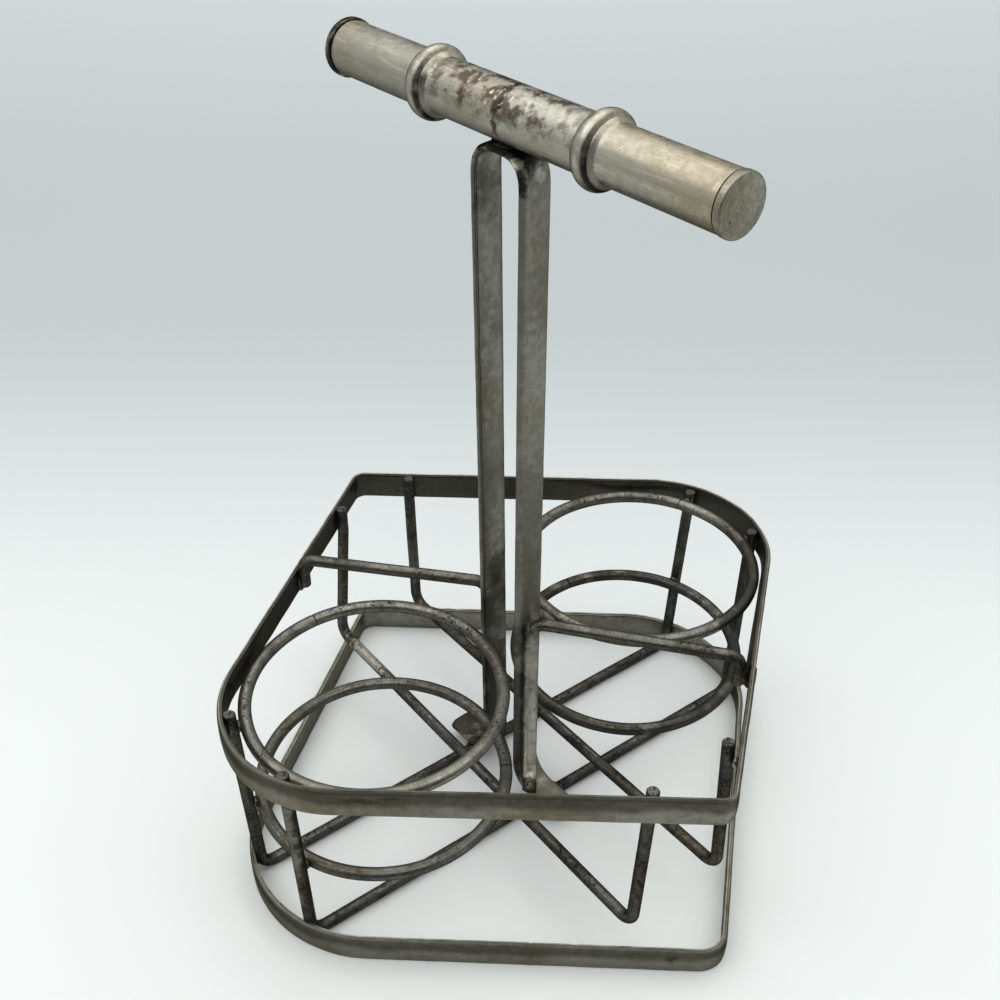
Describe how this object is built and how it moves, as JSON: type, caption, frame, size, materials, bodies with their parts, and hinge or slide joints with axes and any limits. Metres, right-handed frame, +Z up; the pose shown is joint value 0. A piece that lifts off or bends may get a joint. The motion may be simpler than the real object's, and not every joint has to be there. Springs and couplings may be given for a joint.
{
  "type": "condiment caddy",
  "caption": "Wire table caddy with round bottle rings on one diagonal, shaker bays on the other, flat-strip rims and a centre post under a tube handle.",
  "frame": {"origin": "on the surface that the caddy stands on, under the centre of its overall plan, in line with the centre post", "axes": "+Z up along the post; +X the right hand side seen from the front; +Y towards the rear; the handle runs from the rear left to the front right"},
  "size_m": [0.1649, 0.1459, 0.2357],
  "materials": {
    "rim_steel": "tarnished grey-olive plating, satin, with dark pits",
    "ring_steel": "tarnished, satin, with dark pits and warm worn spots",
    "floor_wire_steel": "darkly tarnished, satin",
    "shelf_wire_steel": "tarnished, satin, with bright pitted spots",
    "divider_steel": "tarnished, satin, with a worn spot low on the leg",
    "strap_steel": "dark grey, satin, pitted, with rust at the feet",
    "tube_nickel": "worn nickel plate, soft gloss, streaked, with brown tarnish at the middle",
    "cap_nickel": "worn nickel plate, soft gloss"
  },
  "bodies": {
    "root": {"top_rim": "rim_steel", "bottom_rim": "rim_steel", "upper_ring_front": "ring_steel", "upper_ring_rear": "ring_steel", "lower_ring_front": "ring_steel", "lower_ring_rear": "ring_steel", "floor_wire_left": "floor_wire_steel", "floor_wire_right": "floor_wire_steel", "shelf_wire_rear": "shelf_wire_steel", "shelf_wire_front": "shelf_wire_steel", "divider_left": "divider_steel", "divider_right": "divider_steel", "handle_strap": "strap_steel", "handle_tube": "tube_nickel", "handle_cap_left": "cap_nickel", "handle_cap_right": "cap_nickel"}
  },
  "joints": []
}
